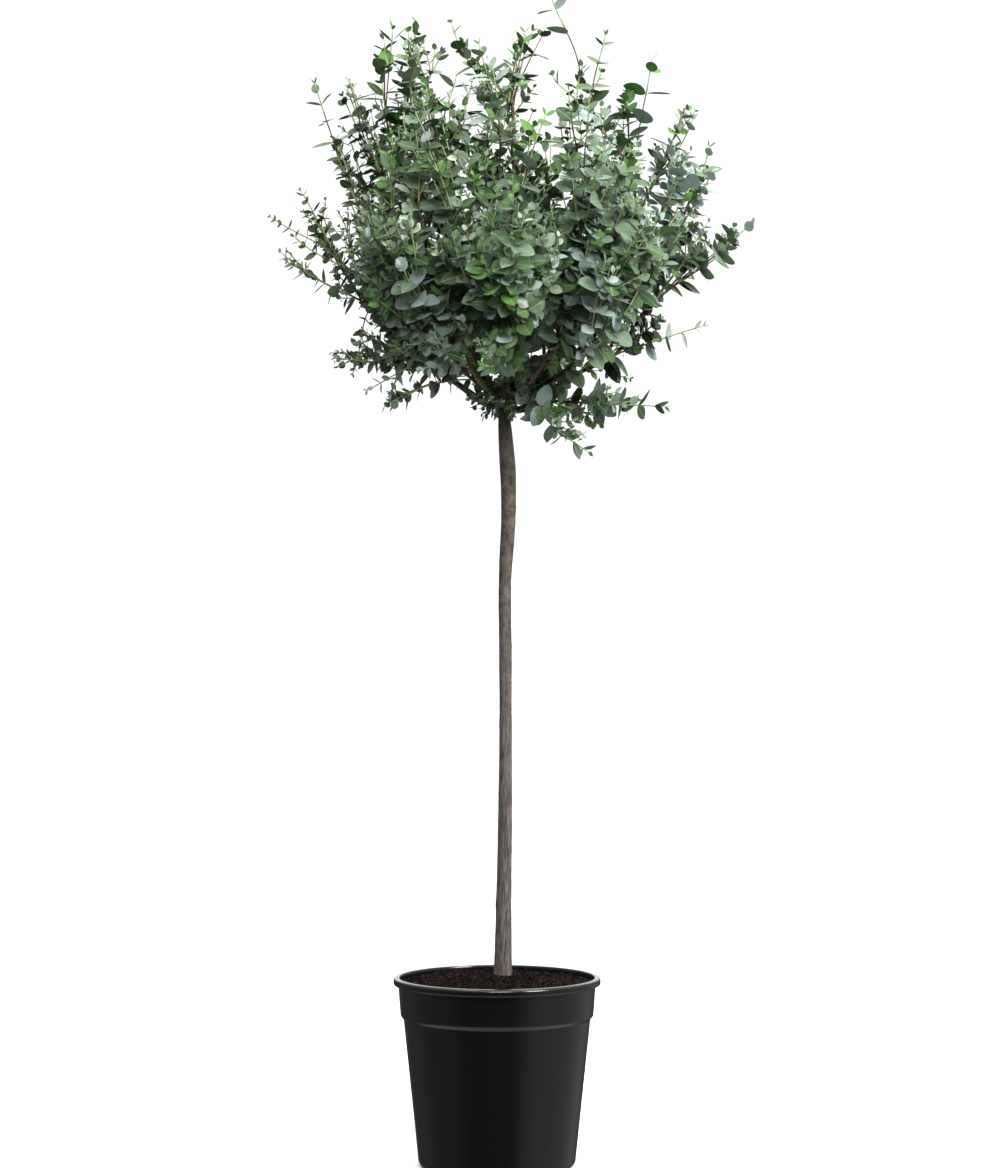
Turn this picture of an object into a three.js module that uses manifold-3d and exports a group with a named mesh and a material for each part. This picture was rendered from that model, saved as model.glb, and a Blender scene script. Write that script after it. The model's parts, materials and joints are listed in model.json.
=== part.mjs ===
// A eucalyptus grown as a standard: a clean, slightly crooked stem carries a loose round head of
// leafy shoots, and stands in a black nursery pot filled with compost.
// Millimetres, +Z up. The front faces -Y and +X is to the right. The origin is the centre of the
// pot's flat underside. Bearings run in degrees from +X (right) through +Y (back).

import * as THREE from 'three';
import { mergeVertices } from 'three/addons/utils/BufferGeometryUtils.js';
import Module from 'manifold-3d';

const wasm = await Module();
wasm.setup();

// Driving dimensions
const POT_HEIGHT = 272;
const RIM_RADIUS = 150; // outside of the lip
const LIP_HEIGHT = 11;
const COLLAR_TOP_RADIUS = 142;
const COLLAR_FOOT_RADIUS = 139;
const COLLAR_FOOT = 218; // height above the ground
const STEP_HEIGHT = 7;
const BODY_TOP_RADIUS = 134.5;
const FOOT_RADIUS = 113.5; // where the wall starts to turn under
const FOOT_BEND = 10;
const WALL = 2.4;
const FLOOR_THICKNESS = 4;
const POT_SIDES = 30;

const COMPOST_AT_WALL = POT_HEIGHT - 8;
const COMPOST_TOP = POT_HEIGHT; // the flat round the stem's foot
const COMPOST_FLAT_RADIUS = 38;

const STEM_HEIGHT = 818; // from the compost to the fork
const STEM_FOOT_X = 8.5;
const STEM_FOOT_Y = 18;
const FORK_HEIGHT = COMPOST_TOP + STEM_HEIGHT;

const HEAD_X = 15; // the head's middle lies a little to the right of the pot's
const CLEARANCE = 0.4; // between solids that touch

const FRONT = -90;
const UP = new THREE.Vector3(0, 0, 1);
const radians = THREE.MathUtils.degToRad;

// ---------------------------------------------------------------------------------------------
// Shaping and cutting

function closed(geometry) {
  geometry.deleteAttribute('normal');
  geometry.deleteAttribute('uv');
  return mergeVertices(geometry, 1e-3);
}

function solidOf(geometry) {
  const shape = closed(geometry);
  return new wasm.Manifold(
    new wasm.Mesh({
      numProp: 3,
      vertProperties: shape.getAttribute('position').array,
      triVerts: new Uint32Array(shape.index.array),
    }),
  );
}

function geometryOf(solid) {
  const mesh = solid.getMesh();
  return new THREE.BufferGeometry()
    .setAttribute('position', new THREE.BufferAttribute(mesh.vertProperties, 3))
    .setIndex(new THREE.BufferAttribute(mesh.triVerts, 1));
}

function largestPiece(solid) {
  return solid.decompose().reduce((best, piece) => (piece.volume() > best.volume() ? piece : best));
}

// What is left of a solid outside others, as one piece.
function cutBy(solid, others) {
  return largestPiece(others.reduce((left, other) => left.subtract(other), solid));
}

function turned(profile) {
  return new THREE.LatheGeometry(profile, POT_SIDES).rotateX(Math.PI / 2);
}

// The value of evenly spaced stations at share t of the way through them.
function along(stations, t) {
  const place = t * (stations.length - 1);
  const i = Math.min(Math.floor(place), stations.length - 2);
  return THREE.MathUtils.lerp(stations[i], stations[i + 1], place - i);
}

// A cylinder bent along a curve: a limb that tapers through its radii, with flat ends.
// A level limb keeps every section horizontal, so that its foot is a flat cut.
function limb({ points, radii, sides, steps, level = false, grow = 0 }) {
  const curve = new THREE.CatmullRomCurve3(points);
  const frames = curve.computeFrenetFrames(steps);
  const geometry = new THREE.CylinderGeometry(1, 1, 1, sides, steps);
  const position = geometry.getAttribute('position');
  for (let i = 0; i < position.count; i++) {
    const t = position.getY(i) + 0.5;
    const station = Math.round(t * steps);
    const radius = along(radii, t) + grow;
    const across = level ? new THREE.Vector3(1, 0, 0) : frames.normals[station];
    const beside = level ? new THREE.Vector3(0, 1, 0) : frames.binormals[station];
    const point = curve
      .getPointAt(t)
      .addScaledVector(across, radius * position.getX(i))
      .addScaledVector(beside, -radius * position.getZ(i));
    position.setXYZ(i, point.x, point.y, point.z);
  }
  return solidOf(geometry);
}

// Swells and dips over a lump's surface, different for each seed.
function unevenness(direction, seed) {
  const wave = (x, y, z, phase) =>
    Math.sin(x * direction.x + y * direction.y + z * direction.z + phase * seed);
  const swell = 0.08 * wave(3.1, 1.7, 2.3, 1.9) + 0.06 * wave(-2.2, 4.3, 1.1, 2.7);
  const ripple = 0.06 * wave(5.2, -3.4, 6.1, 3.3);
  return 1 + swell + ripple;
}

// A closed, uneven ellipsoid round a centre, kept behind the walls that part it from its neighbours.
function lump({ centre, size, bearing, rise = 0, detail, seed, walls = [], grow = 0 }) {
  const aim = new THREE.Quaternion().setFromEuler(
    new THREE.Euler(0, -radians(rise), radians(bearing), 'ZYX'),
  );
  const geometry = new THREE.IcosahedronGeometry(1, detail);
  const position = geometry.getAttribute('position');
  const direction = new THREE.Vector3();
  for (let i = 0; i < position.count; i++) {
    direction.fromBufferAttribute(position, i).normalize();
    let reach = unevenness(direction, seed) / direction.clone().divide(size).length();
    direction.applyQuaternion(aim);
    for (const { normal, distance } of walls) {
      const towards = normal.dot(direction);
      if (towards > 0) reach = Math.min(reach, distance / towards);
    }
    direction.multiplyScalar(reach + grow).add(centre);
    position.setXYZ(i, direction.x, direction.y, direction.z);
  }
  return solidOf(geometry);
}

// ---------------------------------------------------------------------------------------------
// The pot and its compost

function potSolid() {
  const bend = 2.5; // softens the lip
  const outside = [
    [0, 0],
    [FOOT_RADIUS - FOOT_BEND, 0],
    ...footBend([20, 50, 80]),
    [BODY_TOP_RADIUS, COLLAR_FOOT - STEP_HEIGHT],
    [COLLAR_FOOT_RADIUS, COLLAR_FOOT],
    [COLLAR_TOP_RADIUS, POT_HEIGHT - LIP_HEIGHT],
    [RIM_RADIUS - bend / 2, POT_HEIGHT - LIP_HEIGHT],
    [RIM_RADIUS, POT_HEIGHT - LIP_HEIGHT + bend],
    [RIM_RADIUS, POT_HEIGHT - bend],
    [RIM_RADIUS - bend, POT_HEIGHT],
  ];
  const inside = innerWall().reverse();
  return solidOf(turned([...outside, ...inside].map(([r, z]) => new THREE.Vector2(r, z))));
}

// Points on the quarter turn from the underside up into the wall, at angles in degrees.
function footBend(angles) {
  return angles.map((angle) => [
    FOOT_RADIUS - FOOT_BEND * (1 - Math.sin(radians(angle))),
    FOOT_BEND * (1 - Math.cos(radians(angle))),
  ]);
}

// The pot's inside from the middle of its floor up to the rim, as radius and height.
function innerWall(gap = 0) {
  const inset = WALL + gap;
  return [
    [0, FLOOR_THICKNESS + gap],
    [FOOT_RADIUS - FOOT_BEND, FLOOR_THICKNESS + gap],
    [FOOT_RADIUS - inset, FOOT_BEND + gap],
    [BODY_TOP_RADIUS - inset, COLLAR_FOOT - STEP_HEIGHT + 2],
    [COLLAR_FOOT_RADIUS - inset, COLLAR_FOOT + 2],
    [COLLAR_TOP_RADIUS - inset, POT_HEIGHT],
  ];
}

function compostSolid() {
  const wall = innerWall(CLEARANCE);
  const collarShare = (COMPOST_AT_WALL - COLLAR_FOOT) / (POT_HEIGHT - COLLAR_FOOT);
  const edge = THREE.MathUtils.lerp(COLLAR_FOOT_RADIUS, COLLAR_TOP_RADIUS, collarShare) - WALL - 2 * CLEARANCE;
  wall.pop();
  const top = [
    [edge, COMPOST_AT_WALL],
    [0.7 * edge, COMPOST_AT_WALL + 4],
    [COMPOST_FLAT_RADIUS, COMPOST_TOP],
    [0, COMPOST_TOP],
  ];
  return solidOf(turned([...wall, ...top].map(([r, z]) => new THREE.Vector2(r, z))));
}

// ---------------------------------------------------------------------------------------------
// The stem: how far it wanders from its foot, and its radius, at even stations up to the fork.
// It bows to the right, kinks back left under the head and swells where the boughs leave it.

const STEM_SIDEWAYS = [0, 1.1, 2.3, 3.3, 3.9, 3.9, 3.3, 2.7, 8.2, 6.8, 0.5];
const STEM_DEPTHWISE = [0, -2, -5, -8, -9, -8, -6, -7, -9, -10, -9];
const STEM_RADII = [13, 11.2, 10.5, 9.9, 9.1, 8.8, 8.8, 8.9, 9.5, 10.2, 11.5];
const HEAD_CAP = 14; // the knuckle above the fork

const fork = new THREE.Vector3(STEM_FOOT_X + STEM_SIDEWAYS.at(-1), STEM_FOOT_Y + STEM_DEPTHWISE.at(-1), FORK_HEIGHT);

function stemSolid(grow = 0) {
  const foot = COMPOST_TOP + CLEARANCE;
  const last = STEM_SIDEWAYS.length - 1;
  const points = STEM_SIDEWAYS.map(
    (sideways, i) =>
      new THREE.Vector3(
        STEM_FOOT_X + sideways,
        STEM_FOOT_Y + STEM_DEPTHWISE[i],
        THREE.MathUtils.lerp(foot, FORK_HEIGHT, i / last),
      ),
  );
  points.push(points[last].clone().addScaledVector(UP, HEAD_CAP));
  return limb({ points, radii: [...STEM_RADII, 7], sides: 12, steps: 18, level: true, grow });
}

// ---------------------------------------------------------------------------------------------
// The head: rings of foliage masses round a bare middle, from the skirt under the belly to the top

const COMPASS = ['right', 'back_right', 'back', 'back_left', 'left', 'front_left', 'front', 'front_right'];

function compassWord(bearing) {
  return COMPASS[Math.round((((bearing % 360) + 360) % 360) / 45) % 8];
}

// out: from the head's middle to each mass's; size: half-lengths outwards, sideways and upwards.
// lean: how much further out, and how much higher, a mass on the right lies than one on the left.
const RINGS = [
  { name: 'skirt', count: 6, height: 1176, out: 155, size: [104, 92, 56], lean: [-8, 20] },
  { name: 'belly', count: 8, height: 1310, out: 200, size: [112, 92, 102], lean: [24, -6] },
  { name: 'shoulder', count: 6, height: 1456, out: 184, size: [98, 92, 86], lean: [20, -14] },
  { name: 'top', count: 4, height: 1568, out: 108, size: [86, 76, 62], lean: [-20, -30] },
];

function fromHead(bearing, out, height) {
  return new THREE.Vector3(
    HEAD_X + out * Math.cos(radians(bearing)),
    out * Math.sin(radians(bearing)),
    height,
  );
}

const masses = RINGS.flatMap(({ name, count, height, out, size, lean }, ring) =>
  Array.from({ length: count }, (_, i) => {
    const bearing = (360 * i) / count;
    const rightwards = Math.cos(radians(bearing)) / 2;
    return {
      name: `${name}_${compassWord(bearing)}`,
      centre: fromHead(bearing, out + lean[0] * rightwards, height + lean[1] * rightwards),
      size: new THREE.Vector3(...size),
      bearing,
      detail: 2,
      seed: 1 + ring * 10 + i,
    };
  }),
);

// Each pair of masses is parted half-way between their middles.
for (const mass of masses) {
  mass.walls = masses
    .filter((other) => other !== mass)
    .map((other) => {
      const normal = other.centre.clone().sub(mass.centre);
      const distance = normal.length() / 2 - CLEARANCE / 2;
      return { normal: normal.normalize(), distance };
    });
}

// Sprays: narrow masses that stand clear of the head and give it its furthest tips.
// Each runs outwards and upwards (rise, in degrees) for a length, and ends at its tip.
const SPRAYS = [
  { name: 'leader_spray', tip: [76, 6, 1680], bearing: -20, rise: 76, length: 150, radius: 30 },
  { name: 'top_left_spray', tip: [-176, 10, 1640], bearing: 172, rise: 52, length: 140, radius: 44 },
  { name: 'crest_left_spray', tip: [-62, -16, 1634], bearing: 160, rise: 62, length: 130, radius: 36 },
  { name: 'upper_left_spray', tip: [-262, -30, 1553], bearing: 184, rise: 8, length: 120, radius: 24 },
  { name: 'outer_left_spray', tip: [-286, 20, 1408], bearing: 174, rise: 54, length: 150, radius: 34 },
  { name: 'left_spray', tip: [-323, 10, 1362], bearing: 178, rise: 44, length: 180, radius: 42 },
  { name: 'low_left_spray', tip: [-252, -40, 1156], bearing: 190, rise: -8, length: 120, radius: 32 },
  { name: 'hanging_left_spray', tip: [-180, -60, 1084], bearing: 200, rise: -52, length: 110, radius: 28 },
  { name: 'right_spray', tip: [361, -20, 1352], bearing: -4, rise: 14, length: 130, radius: 30 },
  { name: 'upper_right_spray', tip: [286, -10, 1516], bearing: 2, rise: 34, length: 130, radius: 30 },
  { name: 'top_right_spray', tip: [222, 20, 1592], bearing: 8, rise: 42, length: 140, radius: 36 },
  { name: 'middle_right_spray', tip: [333, 10, 1452], bearing: 2, rise: 26, length: 120, radius: 30 },
  { name: 'crest_spray', tip: [150, -24, 1614], bearing: -4, rise: 62, length: 110, radius: 34 },
  { name: 'low_right_spray', tip: [304, -30, 1206], bearing: -6, rise: -10, length: 150, radius: 36 },
  { name: 'hanging_right_spray', tip: [240, -60, 1090], bearing: -14, rise: -10, length: 200, radius: 42 },
  { name: 'hanging_middle_spray', tip: [130, -100, 1026], bearing: -50, rise: -46, length: 130, radius: 34 },
  { name: 'front_spray', tip: [30, -330, 1360], bearing: FRONT + 2, rise: 30, length: 140, radius: 32 },
  { name: 'low_front_spray', tip: [-22, -268, 1144], bearing: FRONT - 4, rise: -20, length: 130, radius: 32 },
  { name: 'back_spray', tip: [-10, 332, 1372], bearing: -FRONT + 3, rise: 32, length: 140, radius: 32 },
  { name: 'low_back_spray', tip: [60, 268, 1124], bearing: -FRONT - 12, rise: -24, length: 130, radius: 32 },
];

function sprayShape({ tip, bearing, rise, length, radius }, seed, grow) {
  const outwards = new THREE.Vector3(
    Math.cos(radians(bearing)) * Math.cos(radians(rise)),
    Math.sin(radians(bearing)) * Math.cos(radians(rise)),
    Math.sin(radians(rise)),
  );
  return lump({
    centre: new THREE.Vector3(...tip).addScaledVector(outwards, -length / 2),
    size: new THREE.Vector3(length / 2, radius, radius),
    bearing,
    rise,
    detail: 1,
    seed,
    grow,
  });
}

// ---------------------------------------------------------------------------------------------
// The boughs: each leaves the knuckle towards its mass and ends where it enters foliage.
// start: height above the fork; arch: how far its middle bows upwards; radius: at its foot.

const BOUGHS = [
  { mass: 'skirt_left', start: -8, arch: 10, radius: 5.6 },
  { mass: 'skirt_right', start: -14, arch: -8, radius: 5.8 },
  { mass: 'skirt_front_left', start: -2, arch: 4, radius: 4.8 },
  { mass: 'skirt_back_right', start: -6, arch: 2, radius: 5.0 },
  { mass: 'skirt_front_right', start: 0, arch: -4, radius: 4.6 },
  { mass: 'belly_back_left', start: 2, arch: -12, radius: 5.6 },
  { mass: 'belly_front', start: 5, arch: -10, radius: 5.4 },
  { mass: 'belly_right', start: 4, arch: -14, radius: 5.6 },
  { mass: 'shoulder_left', start: 9, arch: -12, radius: 5.6 },
  { mass: 'shoulder_back_right', start: 10, arch: -10, radius: 5.2 },
];
const BOUGH_TIP_SHARE = 0.5; // of its radius at the foot
const LEADER_RADIUS = 5.2;

function boughShape({ mass, start, arch, radius }, grow = 0) {
  const target = masses.find(({ name }) => name === mass).centre;
  const foot = fork.clone().addScaledVector(UP, start);
  const outwards = target.clone().sub(foot).setZ(0).normalize();
  foot.addScaledVector(outwards, 5);
  const middle = foot.clone().lerp(target, 0.45).addScaledVector(UP, arch);
  return limb({
    points: [foot, foot.clone().lerp(middle, 0.4).addScaledVector(outwards, 4), middle, target],
    radii: [radius, radius * 0.86, radius * 0.7, radius * BOUGH_TIP_SHARE],
    sides: 6,
    steps: 6,
    grow,
  });
}

// The stem's own tip goes on upwards through the bare middle, to the masses at the top.
function leaderShape() {
  const foot = fork.clone().addScaledVector(UP, HEAD_CAP - 4);
  const tip = new THREE.Vector3(HEAD_X + 6, 4, 1560);
  const bow = new THREE.Vector3(-7, 4, 0);
  return limb({
    points: [foot, foot.clone().lerp(tip, 0.35).add(bow), foot.clone().lerp(tip, 0.7).sub(bow), tip],
    radii: [LEADER_RADIUS, 4.2, 3.2, 2.2],
    sides: 7,
    steps: 10,
  });
}

// ---------------------------------------------------------------------------------------------
// Assembly

const material = (color, roughness, name) =>
  new THREE.MeshStandardMaterial({ color, roughness, metalness: 0, name });
const BLACK_PLASTIC = material(0x17191b, 0.3, 'pot');
const COMPOST = material(0x2a1f1a, 0.95, 'compost');
const BARK = material(0x77706a, 0.85, 'bark');
const YOUNG_BARK = material(0x5a4f40, 0.8, 'young bark');
const LEAF = material(0x586953, 0.6, 'leaf');

const plant = new THREE.Group();

function add(name, solid, look) {
  const mesh = new THREE.Mesh(geometryOf(solid), look);
  mesh.name = name;
  plant.add(mesh);
}

add('pot', potSolid(), BLACK_PLASTIC);
add('compost', compostSolid(), COMPOST);
add('trunk', stemSolid(), BARK);

const placed = masses.map((mass) => ({ ...mass, solid: lump(mass) }));
const keptClear = masses.map((mass) => lump({ ...mass, grow: CLEARANCE }));

SPRAYS.forEach((spray, i) => {
  const seed = 50 + i;
  placed.push({ name: spray.name, solid: cutBy(sprayShape(spray, seed, 0), keptClear) });
  keptClear.push(sprayShape(spray, seed, CLEARANCE));
});

const stemClear = stemSolid(CLEARANCE);
const limbsClear = [stemClear];
for (const bough of BOUGHS) {
  add(`bough_to_${bough.mass}`, cutBy(boughShape(bough), [...limbsClear, ...keptClear]), YOUNG_BARK);
  limbsClear.push(boughShape(bough, CLEARANCE));
}
add('leading_bough', cutBy(leaderShape(), [...limbsClear, ...keptClear]), YOUNG_BARK);

for (const { name, solid } of placed) add(`foliage_${name}`, solid, LEAF);

export default plant;
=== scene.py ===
import json
import math
import random

import bmesh
import bpy
import numpy as np
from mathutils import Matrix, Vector, noise
from mathutils.bvhtree import BVHTree

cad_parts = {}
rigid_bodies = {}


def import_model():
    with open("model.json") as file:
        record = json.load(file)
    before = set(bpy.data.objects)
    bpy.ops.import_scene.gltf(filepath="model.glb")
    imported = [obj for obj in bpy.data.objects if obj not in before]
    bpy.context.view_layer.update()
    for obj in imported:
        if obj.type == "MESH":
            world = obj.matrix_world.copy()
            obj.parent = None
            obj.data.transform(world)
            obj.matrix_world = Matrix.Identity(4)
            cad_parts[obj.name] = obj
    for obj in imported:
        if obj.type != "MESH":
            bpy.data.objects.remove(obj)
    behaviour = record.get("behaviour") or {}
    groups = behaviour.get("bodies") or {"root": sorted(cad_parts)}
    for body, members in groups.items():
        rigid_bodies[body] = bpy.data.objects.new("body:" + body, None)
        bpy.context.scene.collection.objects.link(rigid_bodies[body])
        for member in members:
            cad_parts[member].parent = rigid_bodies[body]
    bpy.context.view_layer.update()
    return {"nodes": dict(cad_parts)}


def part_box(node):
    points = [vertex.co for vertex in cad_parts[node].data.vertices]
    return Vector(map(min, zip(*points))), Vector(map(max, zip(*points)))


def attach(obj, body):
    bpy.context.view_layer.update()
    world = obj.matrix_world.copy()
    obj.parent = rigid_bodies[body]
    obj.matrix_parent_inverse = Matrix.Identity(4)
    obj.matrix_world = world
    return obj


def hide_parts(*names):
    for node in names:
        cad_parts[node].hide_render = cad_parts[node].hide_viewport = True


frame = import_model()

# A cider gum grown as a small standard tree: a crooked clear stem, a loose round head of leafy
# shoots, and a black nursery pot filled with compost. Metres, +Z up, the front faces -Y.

MM = 0.001
LITRE = 0.001
UP = np.array([0.0, 0.0, 1.0])

POT_LOW, POT_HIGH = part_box("pot")
COMPOST_LOW, COMPOST_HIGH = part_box("compost")
TRUNK_LOW, TRUNK_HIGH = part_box("trunk")
RIM_RADIUS = POT_HIGH.x
POT_HEIGHT = POT_HIGH.z
COMPOST_TOP = COMPOST_HIGH.z
COMPOST_EDGE = 139 * MM
HEAD_RADIUS = 300 * MM

MASSES = sorted(name for name in frame["nodes"] if name.startswith("foliage_"))
SPRAYS = [name for name in MASSES if name.endswith("_spray")]
BOUGHS = sorted(name for name in frame["nodes"] if "bough" in name)


# ------------------------------------------------------------------------------------------------
# Materials


def linear(code):
    """An sRGB hex colour, such as "8a8f7c", as linear RGBA."""
    channels = [int(code[i : i + 2], 16) / 255 for i in (0, 2, 4)]
    return [c / 12.92 if c <= 0.04045 else ((c + 0.055) / 1.055) ** 2.4 for c in channels] + [1.0]


def add_node(material, kind, settings, links=()):
    """Adds a shader node, sets its properties and input values, and links its inputs."""
    node = material.node_tree.nodes.new(kind)
    for name, value in settings.items():
        if name in node.inputs:
            node.inputs[name].default_value = value
        else:
            setattr(node, name, value)
    for name, source, output in links:
        material.node_tree.links.new(source.outputs[output], node.inputs[name])
    return node


def new_material(name, settings):
    """A material with a principled surface, and that surface's node."""
    material = bpy.data.materials.new(name)
    material.use_nodes = True
    surface = material.node_tree.nodes["Principled BSDF"]
    for socket, value in settings.items():
        surface.inputs[socket].default_value = value
    return material, surface


def link(material, source, output, surface, socket):
    """Links a node's output to one of the surface's inputs."""
    material.node_tree.links.new(source.outputs[output], surface.inputs[socket])


def set_ramp(ramp, stops):
    """Gives a colour ramp its stops, as (position, sRGB hex)."""
    elements = ramp.color_ramp.elements
    while len(elements) < len(stops):
        elements.new(0.5)
    for element, (position, code) in zip(elements, stops):
        element.position = position
        element.color = linear(code)


def moulded_polypropylene():
    """Injection-moulded black polypropylene: a soft gloss, faintly rippled, with dull scuffs."""
    material, surface = new_material(
        "moulded_black_polypropylene",
        {"IOR": 1.49, "Metallic": 0.0},
    )
    place = add_node(material, "ShaderNodeTexCoord", {})
    ripple = 18 * MM
    scuff = 5 * MM
    waves = add_node(
        material,
        "ShaderNodeTexNoise",
        {"Scale": 1 / ripple, "Detail": 2.0},
        [("Vector", place, "Object")],
    )
    flat = add_node(
        material,
        "ShaderNodeMapping",
        {"Scale": (1.0, 1.0, 5.0)},
        [("Vector", place, "Object")],
    )
    scuffs = add_node(
        material,
        "ShaderNodeTexNoise",
        {"Scale": 1 / scuff, "Detail": 6.0, "Roughness": 0.7},
        [("Vector", flat, "Vector")],
    )
    tint = add_node(material, "ShaderNodeValToRGB", {}, [("Fac", scuffs, "Fac")])
    set_ramp(tint, [(0.0, "08090a"), (0.62, "0b0c0d"), (0.78, "141516")])
    link(material, tint, "Color", surface, "Base Color")
    dullness = add_node(
        material,
        "ShaderNodeMapRange",
        {"From Min": 0.35, "From Max": 0.75, "To Min": 0.15, "To Max": 0.19},
        [("Value", scuffs, "Fac")],
    )
    link(material, dullness, "Result", surface, "Roughness")
    # The ripple dies out towards the lip, which cooled against a stiffer part of the mould
    height = add_node(material, "ShaderNodeSeparateXYZ", {}, [("Vector", place, "Object")])
    ripple_strength = add_node(
        material,
        "ShaderNodeMapRange",
        {
            "From Min": POT_HEIGHT - 26 * MM,
            "From Max": POT_HEIGHT - 12 * MM,
            "To Min": 0.12,
            "To Max": 0.0,
        },
        [("Value", height, "Z")],
    )
    bump = add_node(
        material,
        "ShaderNodeBump",
        {"Distance": 0.5 * MM},
        [("Height", waves, "Fac"), ("Strength", ripple_strength, "Result")],
    )
    link(material, bump, "Normal", surface, "Normal")
    return material


def potting_compost():
    """Moist peat-free compost: nearly black crumbs with brown bark and paler fibre among them."""
    material, surface = new_material(
        "moist_potting_compost",
        {"IOR": 1.4, "Specular IOR Level": 0.06},
    )
    place = add_node(material, "ShaderNodeTexCoord", {})
    crumb = 3.2 * MM
    grains = add_node(
        material,
        "ShaderNodeTexNoise",
        {"Scale": 1 / crumb, "Detail": 5.0, "Roughness": 0.65},
        [("Vector", place, "Object")],
    )
    tint = add_node(material, "ShaderNodeValToRGB", {}, [("Fac", grains, "Fac")])
    set_ramp(tint, [(0.3, "060403"), (0.5, "0d0705"), (0.64, "190e0a"), (0.78, "28170f")])
    link(material, tint, "Color", surface, "Base Color")
    wetness = add_node(
        material,
        "ShaderNodeMapRange",
        {"From Min": 0.3, "From Max": 0.7, "To Min": 0.72, "To Max": 0.97},
        [("Value", grains, "Fac")],
    )
    link(material, wetness, "Result", surface, "Roughness")
    bump = add_node(
        material,
        "ShaderNodeBump",
        {"Strength": 0.8, "Distance": 1.5 * MM},
        [("Height", grains, "Fac")],
    )
    link(material, bump, "Normal", surface, "Normal")
    return material


def stem_bark():
    """Young gum bark: grey and stringy with upright cracks low down; higher up smoother, browner,
    mottled and scarred, and greenish near the fork."""
    material, surface = new_material("stringy_gum_bark", {"IOR": 1.45, "Specular IOR Level": 0.3})
    place = add_node(material, "ShaderNodeTexCoord", {})
    fibre_width = 2.2 * MM
    fibre_stretch = 0.09
    mottle = 11 * MM
    scar = 15 * MM
    patch = 26 * MM
    drawn_out = add_node(
        material,
        "ShaderNodeMapping",
        {"Scale": (1.0, 1.0, fibre_stretch)},
        [("Vector", place, "Object")],
    )
    fibres = add_node(
        material,
        "ShaderNodeTexNoise",
        {"Scale": 1 / fibre_width, "Detail": 5.0, "Roughness": 0.62},
        [("Vector", drawn_out, "Vector")],
    )
    grey = add_node(material, "ShaderNodeValToRGB", {}, [("Fac", fibres, "Fac")])
    set_ramp(grey, [(0.32, "25231f"), (0.43, "4b4743"), (0.55, "68635f"), (0.72, "857f79")])
    mottles = add_node(
        material,
        "ShaderNodeTexNoise",
        {"Scale": 1 / mottle, "Detail": 6.0, "Roughness": 0.68, "Distortion": 0.6},
        [("Vector", place, "Object")],
    )
    smooth = add_node(material, "ShaderNodeValToRGB", {}, [("Fac", mottles, "Fac")])
    set_ramp(smooth, [(0.34, "2f2b26"), (0.44, "4d4740"), (0.56, "635a52"), (0.7, "7a6c62")])
    scars = add_node(
        material,
        "ShaderNodeTexVoronoi",
        {"Scale": 1 / scar, "Randomness": 1.0},
        [("Vector", place, "Object")],
    )
    scar_share = add_node(
        material,
        "ShaderNodeMapRange",
        {"From Min": 0.2, "From Max": 0.06, "To Min": 0.0, "To Max": 0.75},
        [("Value", scars, "Distance")],
    )
    scarred = add_node(
        material,
        "ShaderNodeMix",
        {"data_type": "RGBA", "B": linear("241d19")},
        [("Factor", scar_share, "Result"), ("A", smooth, "Color")],
    )
    patches = add_node(
        material,
        "ShaderNodeTexNoise",
        {"Scale": 1 / patch, "Detail": 3.0},
        [("Vector", place, "Object")],
    )
    rust_share = add_node(
        material,
        "ShaderNodeMapRange",
        {"From Min": 0.56, "From Max": 0.7, "To Min": 0.0, "To Max": 0.6},
        [("Value", patches, "Fac")],
    )
    rusty = add_node(
        material,
        "ShaderNodeMix",
        {"data_type": "RGBA", "B": linear("5f4a3e")},
        [("Factor", rust_share, "Result"), ("A", grey, "Color")],
    )
    height = add_node(material, "ShaderNodeSeparateXYZ", {}, [("Vector", place, "Object")])
    stem_height = TRUNK_HIGH.z - TRUNK_LOW.z
    youth = add_node(
        material,
        "ShaderNodeMapRange",
        {
            "From Min": TRUNK_LOW.z + 0.3 * stem_height,
            "From Max": TRUNK_LOW.z + 0.75 * stem_height,
            "To Min": 0.12,
            "To Max": 0.88,
        },
        [("Value", height, "Z")],
    )
    brown = add_node(
        material,
        "ShaderNodeMix",
        {"data_type": "RGBA"},
        [("Factor", youth, "Result"), ("A", rusty, "Result"), ("B", scarred, "Result")],
    )
    greenness = add_node(
        material,
        "ShaderNodeMapRange",
        {"From Min": TRUNK_HIGH.z - 120 * MM, "From Max": TRUNK_HIGH.z - 20 * MM, "To Max": 0.6},
        [("Value", height, "Z")],
    )
    colour = add_node(
        material,
        "ShaderNodeMix",
        {"data_type": "RGBA", "B": linear("4d5140")},
        [("Factor", greenness, "Result"), ("A", brown, "Result")],
    )
    link(material, colour, "Result", surface, "Base Color")
    surface.inputs["Roughness"].default_value = 0.86
    bump = add_node(
        material,
        "ShaderNodeBump",
        {"Strength": 0.7, "Distance": 0.6 * MM},
        [("Height", fibres, "Fac")],
    )
    link(material, bump, "Normal", surface, "Normal")
    return material


def twig_bark(name, dark, pale, roughness):
    """Skin of young wood, speckled at the scale of its pores."""
    material, surface = new_material(name, {"IOR": 1.45, "Specular IOR Level": 0.3})
    place = add_node(material, "ShaderNodeTexCoord", {})
    pore = 4 * MM
    speckle = add_node(
        material,
        "ShaderNodeTexNoise",
        {"Scale": 1 / pore, "Detail": 3.0},
        [("Vector", place, "Object")],
    )
    tint = add_node(material, "ShaderNodeValToRGB", {}, [("Fac", speckle, "Fac")])
    set_ramp(tint, [(0.36, dark), (0.66, pale)])
    link(material, tint, "Color", surface, "Base Color")
    surface.inputs["Roughness"].default_value = roughness
    return material


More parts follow.
